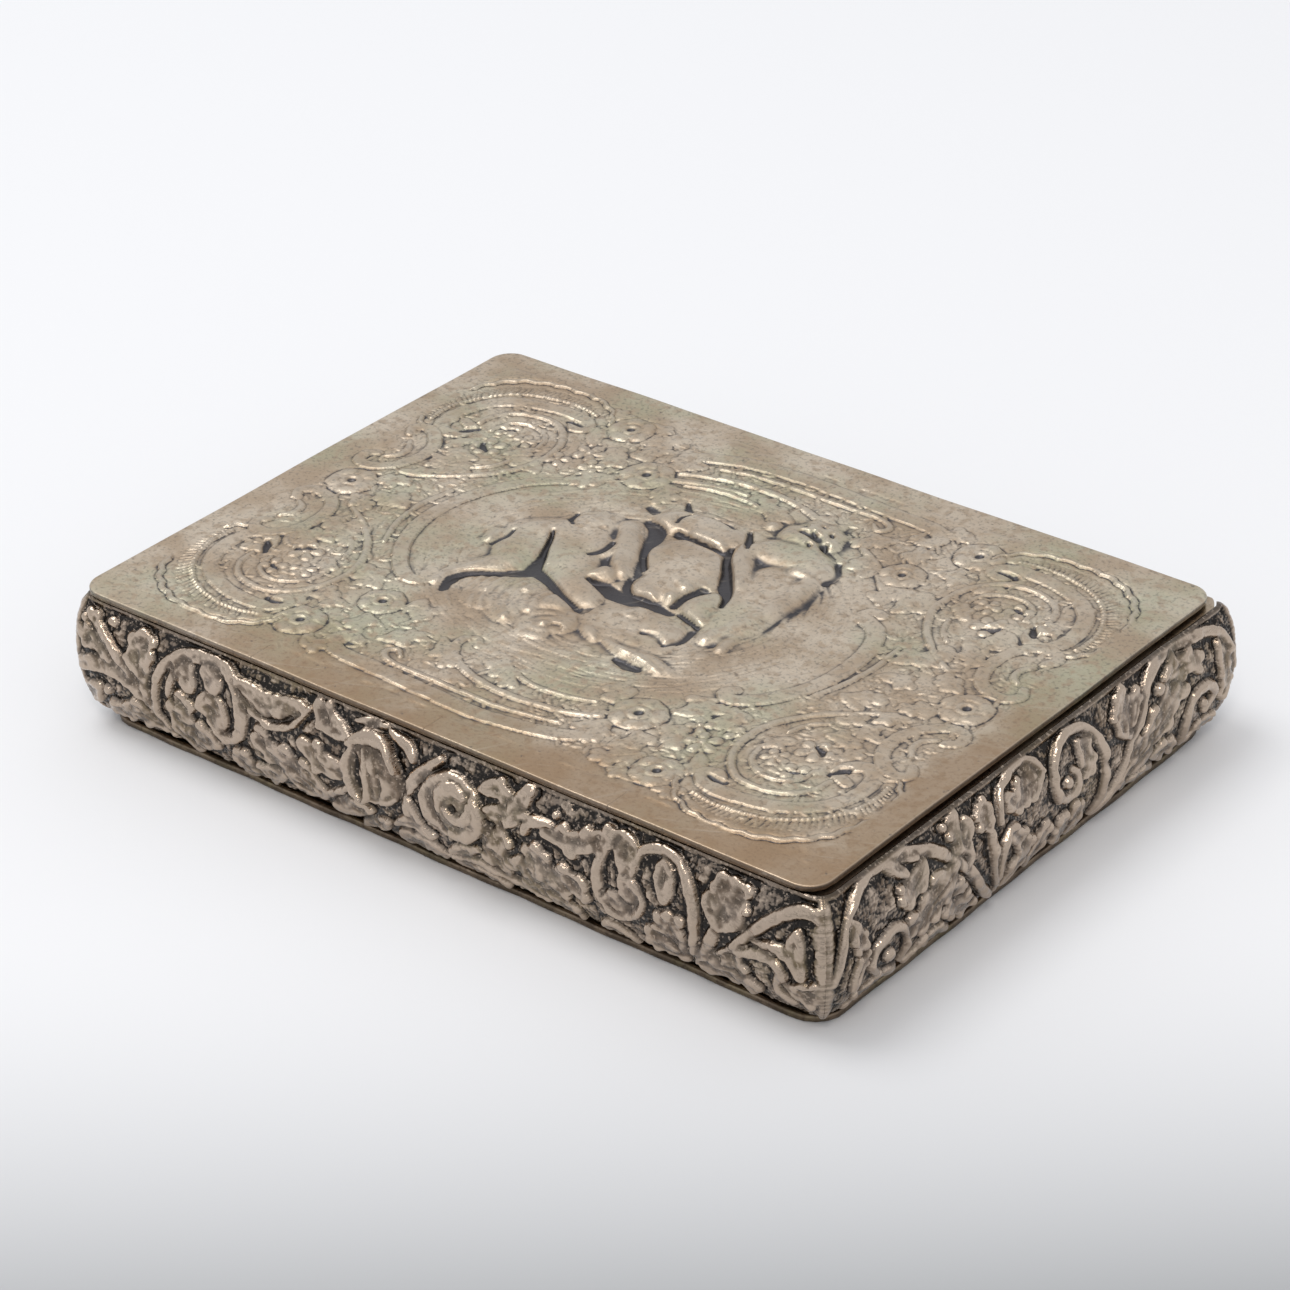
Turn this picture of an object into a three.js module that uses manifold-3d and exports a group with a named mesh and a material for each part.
// A flat rectangular silver box with a hinged lid, in millimetres.
// X runs along the long side, Y runs from the front to the hinge at the back, and Z points up.
// The underside of the base lies on Z = 0, and the walls are centred on X = 0 and Y = 0.
import * as THREE from "three";
import Module from "manifold-3d";
import { mergeVertices } from "three/addons/utils/BufferGeometryUtils.js";

const wasm = await Module();
wasm.setup();

// Overall sizes
const boxLength = 92;
const boxWidth = 65.8;
const boxHeight = 15.6;

// Lid sheet, which has crept forward and to the left on its worn hinge
const lidLength = boxLength;
const lidWidth = boxWidth + 0.2;
const lidThickness = 0.6;
const lidCornerRadius = 2.6;
const lidShiftX = -0.5;
const lidShiftY = -0.4;
const lidUnderside = boxHeight - lidThickness;

// Base sheet, let into a thicker moulding that projects round the foot
const baseThickness = 0.6;
const mouldingHeight = 1.0;
const mouldingWidth = 2.0;
const mouldingCornerRadius = 3.0;
const mouldingRounding = 0.25;

// Swelling walls
const bezelFlangeThickness = 0.4;
const wallThickness = 0.7;
const wallTop = lidUnderside - bezelFlangeThickness;
const wallBulge = 2.1;
const bulgeHeight = 0.59 * wallTop;
const footInset = 1.2;
const wallCornerRadius = 1.5;
const wallArcSteps = 8;
const cornerArcSteps = 4;

// Bezel strip under the lid: a flange that rests on the rim and a tongue that fits the opening
const bezelClearance = 0.3;
const tongueThickness = 0.5;
const tongueDepth = 1.7;
const bezelFlangeReach = 1.2;
const bezelOverlap = 0.05;

// Hinge, whose tubes lie just under the lid along the back
const hingeInset = 0.9;
const hingeAxisY = boxWidth / 2 - hingeInset;
const troughRadius = 1.6;
const hingeAxisZ = lidUnderside - troughRadius;
const knuckleRadius = 1.45;
const knuckleBoreRadius = 0.65;
const pinRadius = 0.6;
const pinRecess = 1.0;
const hingeEndInset = 1.2;
const hingeHalfLength = boxLength / 2 - hingeEndInset;
const knuckleCount = 7;
const knuckleGap = 0.15;
const hingeSides = 32;
const seatGap = 0.01;
const lidSeatSpread = 25;

// Trough along the back wall that carries the knuckles
const troughWall = 0.5;
const troughFloor = 0.5;
const troughStart = 180;
const troughEnd = 300;
const solderMargin = 10;
const rearWallTop = hingeAxisZ - 1.4;
const rearFit = 0.06;
const rimNotchMargin = 0.15;

// Flat rim round the opening
const rimSideWidth = 3.4;
const rimRearWidth = 1.7;
const rimRearEdge = hingeAxisY - troughRadius - 0.1;
const openingRearEdge = rimRearEdge - rimRearWidth;
const openingCornerRadius = 1.0;

// Relief on the lid, drawn for a lid of this size and moved with its edges
const drawnLength = 92;
const drawnWidth = 66;
const reliefRoot = 0.2;
const reliefSides = 12;
const pictureShare = 0.8;
const bandRise = 0.3;
const bandTaper = 0.6;
const bandSides = 6;
const bandStepsPerPoint = 1.5;
const roseRise = 0.4;

const fullyMetal = 1;
const degrees = Math.PI / 180;

// The children, their rock and the clouds: the height of each form, and its balls as [x, y, radius]
const pictureForms = [
  {
    part: "middle child, body",
    rise: 1.35,
    balls: [[-0.7, 7.4, 3.8], [0.4, 5.8, 4.1], [1.7, 2.9, 3.2], [2.4, 0.9, 1.9]],
  },
  {
    part: "middle child, head and shoulders",
    rise: 1.2,
    balls: [[-5.4, 13.4, 2.2], [-2.6, 13.8, 2.6], [0.4, 13.2, 2.3]],
  },
  {
    part: "middle child, thigh",
    rise: 1.2,
    balls: [[7.2, 1.4, 2.3], [7.4, -0.4, 2.1], [8.8, -2.0, 1.0]],
  },
  {
    part: "left child, head",
    rise: 1.35,
    balls: [[-11.9, 7.9, 2.9]],
  },
  {
    part: "left child, right leg",
    rise: 1.3,
    balls: [[-11.6, 2.6, 3.1], [-8.8, -0.4, 3.0], [-5.0, -3.5, 1.9], [-2.6, -5.4, 1.1]],
  },
  {
    part: "left child, left leg",
    rise: 1.35,
    balls: [[-15.0, 2.6, 2.6], [-14.9, -1.6, 2.4], [-15.6, -5.0, 1.7], [-17.4, -10.0, 0.9]],
  },
  {
    part: "left child, arm",
    rise: 1.3,
    balls: [[-8.8, 7.8, 1.2], [-6.6, 5.6, 1.25], [-3.6, 1.4, 1.0]],
  },
  {
    part: "right child, head",
    rise: 1.6,
    balls: [[7.0, 18.6, 3.2]],
  },
  {
    part: "right child, shoulders",
    rise: 1.6,
    balls: [[5.8, 13.6, 2.7], [9.0, 13.8, 3.0], [11.2, 13.0, 2.6]],
  },
  {
    part: "right child, arm",
    rise: 1.3,
    balls: [[4.2, 12.2, 1.7], [4.8, 9.6, 1.7], [6.4, 7.0, 1.4], [8.0, 5.4, 1.1]],
  },
  {
    part: "right child, hip and thigh",
    rise: 1.45,
    balls: [[10.6, 9.4, 2.6], [11.2, 5.4, 3.3], [11.6, 0.6, 3.0], [11.8, -3.2, 1.6]],
  },
  {
    part: "rock",
    rise: 0.75,
    balls: [[0.6, -6.4, 2.6], [3.6, -5.8, 3.1], [6.8, -5.6, 2.8]],
  },
  {
    part: "clouds",
    rise: 0.6,
    balls: [[-5.6, -8.8, 2.7], [-9.6, -8.4, 2.2], [-13.2, -8.6, 2.3]],
  },
];

// Flat bands of the scrolls: half the width of each, and its points as [x, y]
const cornerScroll = {
  halfWidth: 0.9,
  points: [
    [37.6, -17.0], [36.0, -16.2], [36.2, -14.6], [37.9, -13.8], [39.3, -15.2], [39.5, -18.2],
    [38.3, -21.4], [35.7, -23.6], [32.4, -24.7], [29.3, -25.0], [27.0, -24.5], [26.0, -23.3],
  ],
};
const endScrolls = [
  {
    halfWidth: 0.75,
    points: [
      [40.9, -6.2], [41.9, -5.2], [41.4, -3.7], [39.6, -3.5], [37.7, -5.1], [36.7, -7.7],
      [37.0, -10.4], [38.5, -12.5], [40.4, -13.4], [41.6, -12.6],
    ],
  },
  {
    halfWidth: 0.75,
    points: [
      [41.3, 6.2], [41.8, 5.0], [40.7, 3.9], [38.7, 4.1], [36.9, 5.5], [36.1, 8.0],
      [36.3, 11.0], [37.8, 13.3], [39.9, 13.7], [40.9, 12.5],
    ],
  },
];
const longScroll = {
  halfWidth: 1.0,
  points: [
    [-15.8, -24.4], [-17.2, -24.2], [-18.0, -25.6], [-16.4, -27.0], [-12.0, -27.3], [-6.0, -27.6],
    [0.0, -27.8], [5.0, -27.5], [9.4, -26.6], [12.4, -25.2], [12.3, -23.8],
  ],
};
const ovalScrolls = [
  {
    halfWidth: 0.95,
    points: [
      [22.4, 9.6], [21.2, 9.7], [20.8, 8.6], [23.6, 6.8], [24.9, 4.2], [25.5, 0.6],
      [25.3, -3.2], [24.3, -6.8], [22.5, -9.8], [20.2, -11.6], [18.8, -11.0],
    ],
  },
  {
    halfWidth: 0.85,
    points: [
      [-20.6, 13.2], [-24.0, 10.0], [-26.2, 6.2], [-27.3, 1.6], [-27.0, -3.2], [-25.2, -7.6],
      [-22.6, -10.8], [-20.2, -12.2], [-18.8, -11.4],
    ],
  },
];

// Roses, each half of the lid having the other's turned about its middle, as [x, y, radius]
const roses = [
  [14.6, -18.8, 2.9],
  [22.3, -25.7, 2.6],
  [-23.3, -24.9, 2.7],
  [-19.2, -17.3, 2.4],
  [38.9, 0.2, 2.7],
];

// Finishes
const finishes = {
  lid: { color: "#ac9a86", roughness: 0.42 },
  relief: { color: "#857769", roughness: 0.38 },
  base: { color: "#8d8072", roughness: 0.4 },
  plain: { color: "#9a8d7e", roughness: 0.34 },
  pin: { color: "#6f665c", roughness: 0.45 },
};

const box = new THREE.Group();
box.name = "hinged_box";

/** Adds one named piece with its own material. */
function addPiece(name, geometry, finish) {
  const material = new THREE.MeshStandardMaterial({
    color: finishes[finish].color,
    roughness: finishes[finish].roughness,
    metalness: fullyMetal,
  });
  const mesh = new THREE.Mesh(geometry, material);
  mesh.name = name;
  box.add(mesh);
}

/** A geometry as a solid that can be added to or cut from another. */
function toSolid(geometry) {
  const bare = geometry.clone();
  bare.deleteAttribute("normal");
  bare.deleteAttribute("uv");
  const merged = mergeVertices(bare, 1e-4);
  return new wasm.Manifold(
    new wasm.Mesh({
      numProp: 3,
      vertProperties: merged.attributes.position.array,
      triVerts: new Uint32Array(merged.index.array),
    }),
  );
}

/** A solid as a geometry. */
function toGeometry(solid) {
  const mesh = solid.getMesh();
  const geometry = new THREE.BufferGeometry();
  geometry.setAttribute("position", new THREE.BufferAttribute(mesh.vertProperties, 3));
  geometry.setIndex(new THREE.BufferAttribute(mesh.triVerts, 1));
  geometry.computeVertexNormals();
  return geometry;
}

/** A block between two corners. */
function block(low, high) {
  const geometry = new THREE.BoxGeometry(high[0] - low[0], high[1] - low[1], high[2] - low[2]);
  geometry.translate((low[0] + high[0]) / 2, (low[1] + high[1]) / 2, (low[2] + high[2]) / 2);
  return geometry;
}

/** A rectangle with round corners, as a shape or a hole. */
function roundedRectangle(Outline, left, right, front, rear, radius) {
  const outline = new Outline();
  outline.moveTo(left + radius, front);
  outline.lineTo(right - radius, front);
  outline.absarc(right - radius, front + radius, radius, -90 * degrees, 0, false);
  outline.lineTo(right, rear - radius);
  outline.absarc(right - radius, rear - radius, radius, 0, 90 * degrees, false);
  outline.lineTo(left + radius, rear);
  outline.absarc(left + radius, rear - radius, radius, 90 * degrees, 180 * degrees, false);
  outline.lineTo(left, front + radius);
  outline.absarc(left + radius, front + radius, radius, 180 * degrees, 270 * degrees, false);
  return outline;
}

/** A flat sheet between two heights. */
function sheet(shape, low, high, rounding = 0) {
  const geometry = new THREE.ExtrudeGeometry(shape, {
    depth: high - low - 2 * rounding,
    curveSegments: 6,
    bevelEnabled: rounding > 0,
    bevelThickness: rounding,
    bevelSize: rounding,
    bevelOffset: -rounding,
    bevelSegments: 2,
  });
  geometry.translate(0, 0, low + rounding);
  return geometry;
}

/** The section of a wall as [offset from the rim line, height], outer side first, both going round. */
function wallSection() {
  const section = [];
  const quarterPoint = (centre, reach, rise, step) => {
    const angle = (90 * degrees * step) / wallArcSteps;
    return [centre + reach * Math.cos(angle), bulgeHeight + rise * Math.sin(angle)];
  };
  const lowerReach = wallBulge + footInset;
  const lowerRise = mouldingHeight - bulgeHeight;
  const upperRise = wallTop - bulgeHeight;
  for (let step = wallArcSteps; step > 0; step--) {
    section.push(quarterPoint(-footInset, lowerReach, lowerRise, step));
  }
  for (let step = 0; step <= wallArcSteps; step++) {
    section.push(quarterPoint(0, wallBulge, upperRise, step));
  }
  for (let step = wallArcSteps; step > 0; step--) {
    section.push(quarterPoint(0, wallBulge - wallThickness, upperRise - wallThickness, step));
  }
  for (let step = 0; step <= wallArcSteps; step++) {
    section.push(quarterPoint(-footInset, lowerReach - wallThickness, lowerRise + wallThickness, step));
  }
  return section;
}

/** One wall, swept from the middle of one rounded corner to the middle of the next. */
function wall(facing) {
  const centreX = boxLength / 2 - wallCornerRadius;
  const centreY = boxWidth / 2 - wallCornerRadius;
  const stations = [];
  for (const turn of [-45, 0]) {
    const cornerDirection = (facing + turn + (turn < 0 ? 0 : 45)) * degrees;
    const x = centreX * Math.sign(Math.round(2 * Math.cos(cornerDirection)));
    const y = centreY * Math.sign(Math.round(2 * Math.sin(cornerDirection)));
    for (let step = 0; step <= cornerArcSteps; step++) {
      stations.push({ x, y, angle: (facing + turn + (45 * step) / cornerArcSteps) * degrees });
    }
  }
  const section = wallSection();
  const points = [];
  for (const { x, y, angle } of stations) {
    for (const [offset, height] of section) {
      const reach = wallCornerRadius + offset;
      points.push(x + reach * Math.cos(angle), y + reach * Math.sin(angle), height);
    }
  }
  const faces = [];
  const around = section.length;
  for (let s = 0; s + 1 < stations.length; s++) {
    for (let p = 0; p < around; p++) {
      const here = s * around + p;
      const above = s * around + ((p + 1) % around);
      faces.push(here, here + around, above, above, here + around, above + around);
    }
  }
  const flat = section.map(([offset, height]) => new THREE.Vector2(offset, height));
  const lastRing = (stations.length - 1) * around;
  for (const [a, b, c] of THREE.ShapeUtils.triangulateShape(flat, [])) {
    faces.push(a, b, c);
    faces.push(lastRing + a, lastRing + c, lastRing + b);
  }
  const geometry = new THREE.BufferGeometry();
  geometry.setAttribute("position", new THREE.Float32BufferAttribute(points, 3));
  geometry.setIndex(faces);
  geometry.computeVertexNormals();
  return geometry;
}

/** A section drawn in the Y-Z plane round the hinge axis, pushed along X. */
function alongHinge(outline, fromX, toX) {
  const geometry = new THREE.ExtrudeGeometry(outline, { depth: toX - fromX, bevelEnabled: false });
  const turned = new THREE.Matrix4().makeBasis(
    new THREE.Vector3(0, 1, 0),
    new THREE.Vector3(0, 0, 1),
    new THREE.Vector3(1, 0, 0),
  );
  geometry.applyMatrix4(turned);
  geometry.translate(fromX, hingeAxisY, hingeAxisZ);
  return geometry;
}

/** A closed round of points whose radius may change with the angle in degrees. */
function roundOutline(Outline, radiusAt) {
  const points = [];
  for (let side = 0; side < hingeSides; side++) {
    const angle = (360 * side) / hingeSides;
    const radius = radiusAt(angle);
    points.push(new THREE.Vector2(radius * Math.cos(angle * degrees), radius * Math.sin(angle * degrees)));
  }
  return new Outline(points);
}

/** One knuckle tube, with a solder seat that reaches its leaf. */
function knuckle(index, seatRadius) {
  const pitch = (2 * hingeHalfLength + knuckleGap) / knuckleCount;
  const fromX = -hingeHalfLength + index * pitch;
  const outline = roundOutline(THREE.Shape, seatRadius);
  outline.holes.push(roundOutline(THREE.Path, () => knuckleBoreRadius));
  return alongHinge(outline, fromX, fromX + pitch - knuckleGap);
}

/** Radius of a body knuckle: its seat fills the floor of the trough. */
function bodySeat(angle) {
  const onFloor = angle > troughStart + solderMargin && angle < troughEnd - solderMargin;
  return onFloor ? troughRadius - seatGap : knuckleRadius;
}

/** Radius of a lid knuckle: its seat is flat under the lid sheet. */
function lidSeat(angle) {
  const underLid = Math.abs(angle - 90) < lidSeatSpread;
  const lidRise = lidUnderside - hingeAxisZ - seatGap;
  return underLid ? lidRise / Math.sin(angle * degrees) : knuckleRadius;
}

/** The trough: a half-round channel with a post in front and a shelf that meets the back wall. */
function trough() {
  const front = -troughRadius - troughWall;
  const floor = -troughRadius - troughFloor;
  const rimUnderside = wallTop - wallThickness - hingeAxisZ;
  const rise = (rearWallTop - bulgeHeight) / (wallTop - wallThickness - bulgeHeight);
  const innerSwell = (wallBulge - wallThickness) * Math.sqrt(1 - rise * rise);
  const rear = boxWidth / 2 + innerSwell - rearFit - hingeAxisY;
  const outline = new THREE.Shape();
  outline.moveTo(front, rimUnderside);
  outline.lineTo(front, floor);
  outline.lineTo(rear, floor);
  outline.lineTo(rear, rearWallTop - hingeAxisZ);
  for (let angle = troughEnd; angle >= troughStart; angle -= 360 / hingeSides) {
    outline.lineTo(troughRadius * Math.cos(angle * degrees), troughRadius * Math.sin(angle * degrees));
  }
  outline.lineTo(-troughRadius, 0);
  outline.lineTo(-troughRadius, rimUnderside);
  return alongHinge(outline, -hingeHalfLength, hingeHalfLength);
}

/** The rim sheet, notched at the back where the hinge lies. */
function rim() {
  const halfLength = boxLength / 2;
  const halfWidth = boxWidth / 2;
  const notch = hingeHalfLength + rimNotchMargin;
  const shape = new THREE.Shape();
  shape.moveTo(-halfLength + wallCornerRadius, -halfWidth);
  shape.lineTo(halfLength - wallCornerRadius, -halfWidth);
  const frontY = -halfWidth + wallCornerRadius;
  const cornerX = halfLength - wallCornerRadius;
  shape.absarc(cornerX, frontY, wallCornerRadius, -90 * degrees, 0, false);
  shape.lineTo(halfLength, halfWidth - wallCornerRadius);
  shape.lineTo(notch, halfWidth - wallCornerRadius);
  shape.lineTo(notch, rimRearEdge);
  shape.lineTo(-notch, rimRearEdge);
  shape.lineTo(-notch, halfWidth - wallCornerRadius);
  shape.lineTo(-halfLength, halfWidth - wallCornerRadius);
  shape.lineTo(-halfLength, frontY);
  shape.absarc(-cornerX, frontY, wallCornerRadius, 180 * degrees, 270 * degrees, false);
  shape.holes.push(openingOutline(THREE.Path, 0));
  return sheet(shape, wallTop - wallThickness, wallTop);
}

/** The outline of the base, or a line the given distance inside it. */
function baseOutline(Outline, inside) {
  const halfLength = boxLength / 2 - inside;
  const halfWidth = boxWidth / 2 - inside;
  const radius = mouldingCornerRadius - inside;
  return roundedRectangle(Outline, -halfLength, halfLength, -halfWidth, halfWidth, radius);
}

/** The opening, or a line kept the given distance outside it. */
function openingOutline(Outline, outside) {
  const halfLength = boxLength / 2 - rimSideWidth + outside;
  const front = -boxWidth / 2 + rimSideWidth - outside;
  const rear = openingRearEdge + outside;
  return roundedRectangle(Outline, -halfLength, halfLength, front, rear, openingCornerRadius);
}

/** The bezel under the lid: flange and tongue in one bent strip. */
function bezel() {
  const flangeShape = openingOutline(THREE.Shape, bezelFlangeReach);
  flangeShape.holes.push(openingOutline(THREE.Path, -bezelClearance - tongueThickness));
  const tongueShape = openingOutline(THREE.Shape, -bezelClearance);
  tongueShape.holes.push(openingOutline(THREE.Path, -bezelClearance - tongueThickness));
  const flange = toSolid(sheet(flangeShape, wallTop, lidUnderside));
  const tongue = toSolid(sheet(tongueShape, wallTop - tongueDepth, wallTop + bezelOverlap));
  return toGeometry(flange.add(tongue));
}

/** A place of the relief, as drawn, on the lid itself. */
function onLid(x, y) {
  return [lidShiftX + (x * lidLength) / drawnLength, lidShiftY + (y * lidWidth) / drawnWidth];
}

/** Solids in a row, each wrapped together with the next. */
function joinedInTurn(solids) {
  const links = solids.slice(1).map((solid, index) => wasm.Manifold.hull([solids[index], solid]));
  return wasm.Manifold.union(links);
}

/** A raised form of soft section: flattened balls joined in turn, which rise with their radius. */
function raisedForm(rise, balls) {
  const widest = Math.max(...balls.map((ball) => ball[2]));
  const solids = balls.map(([x, y, radius]) => {
    const height = rise * Math.sqrt(radius / widest);
    const ball = wasm.Manifold.sphere(radius, reliefSides).scale([1, 1, height / radius]);
    return ball.translate([...onLid(x, y), boxHeight]);
  });
  if (solids.length === 1) {
    return solids[0];
  }
  return joinedInTurn(solids);
}

/** A flat raised band with sloping sides along a smooth line, mirrored by the two signs. */
function raisedBand({ halfWidth, points }, signX = 1, signY = 1) {
  const line = new THREE.CatmullRomCurve3(
    points.map(([x, y]) => new THREE.Vector3(signX * x, signY * y, 0)),
    false,
    "catmullrom",
  );
  const pegs = line.getSpacedPoints(Math.round(points.length * bandStepsPerPoint)).map((point) => {
    const peg = wasm.Manifold.cylinder(reliefRoot + bandRise, halfWidth, halfWidth * bandTaper, bandSides);
    return peg.translate([...onLid(point.x, point.y), boxHeight - reliefRoot]);
  });
  return joinedInTurn(pegs);
}

/** Everything that stands proud of the lid sheet, cut off inside the sheet. */
function lidRelief() {
  const forms = pictureForms.map(({ rise, balls }) => raisedForm(rise * pictureShare, balls));
  for (const turn of [1, -1]) {
    for (const [x, y, radius] of roses) {
      forms.push(raisedForm(roseRise, [[turn * x, turn * y, radius]]));
    }
    for (const side of [1, -1]) {
      forms.push(raisedBand(cornerScroll, turn, side));
    }
    forms.push(raisedBand(longScroll, turn, turn));
    forms.push(...endScrolls.map((scroll) => raisedBand(scroll, turn, turn)));
  }
  forms.push(...ovalScrolls.map((scroll) => raisedBand(scroll)));
  const lowest = boxHeight - reliefRoot;
  const aboveRoot = block([-boxLength, -boxWidth, lowest], [boxLength, boxWidth, 2 * boxHeight]);
  return wasm.Manifold.union(forms).intersect(toSolid(aboveRoot));
}

// Base
const mouldingShape = baseOutline(THREE.Shape, 0);
const mouldingBlank = toSolid(sheet(mouldingShape, 0, mouldingHeight, mouldingRounding));
const mouldingHollow = toSolid(sheet(baseOutline(THREE.Shape, mouldingWidth), -1, mouldingHeight + 1));
addPiece("base_moulding", toGeometry(mouldingBlank.subtract(mouldingHollow)), "base");
addPiece("base_plate", sheet(baseOutline(THREE.Shape, mouldingWidth), 0, baseThickness), "base");

// Walls
addPiece("front_wall", wall(270), "relief");
addPiece("right_wall", wall(0), "relief");
addPiece("left_wall", wall(180), "relief");
const aboveRearWall = toSolid(block([-boxLength, 0, rearWallTop], [boxLength, boxWidth, boxHeight]));
addPiece("rear_wall", toGeometry(toSolid(wall(90)).subtract(aboveRearWall)), "relief");

// Rim and hinge trough
addPiece("top_rim", rim(), "plain");
addPiece("hinge_trough", trough(), "plain");

// Hinge
for (let index = 0; index < knuckleCount; index++) {
  const onBody = index % 2 === 0;
  const name = (onBody ? "body_knuckle_" : "lid_knuckle_") + (Math.floor(index / 2) + 1);
  addPiece(name, knuckle(index, onBody ? bodySeat : lidSeat), "plain");
}
const pinOutline = roundOutline(THREE.Shape, () => pinRadius);
const pinReach = hingeHalfLength - pinRecess;
addPiece("hinge_pin", alongHinge(pinOutline, -pinReach, pinReach), "pin");

// Lid
const lidShape = roundedRectangle(
  THREE.Shape,
  lidShiftX - lidLength / 2,
  lidShiftX + lidLength / 2,
  lidShiftY - lidWidth / 2,
  lidShiftY + lidWidth / 2,
  lidCornerRadius,
);
const lidSheet = toSolid(sheet(lidShape, lidUnderside, boxHeight));
addPiece("lid_plate", toGeometry(lidSheet.add(lidRelief())), "lid");
addPiece("lid_bezel", bezel(), "plain");

export default box;
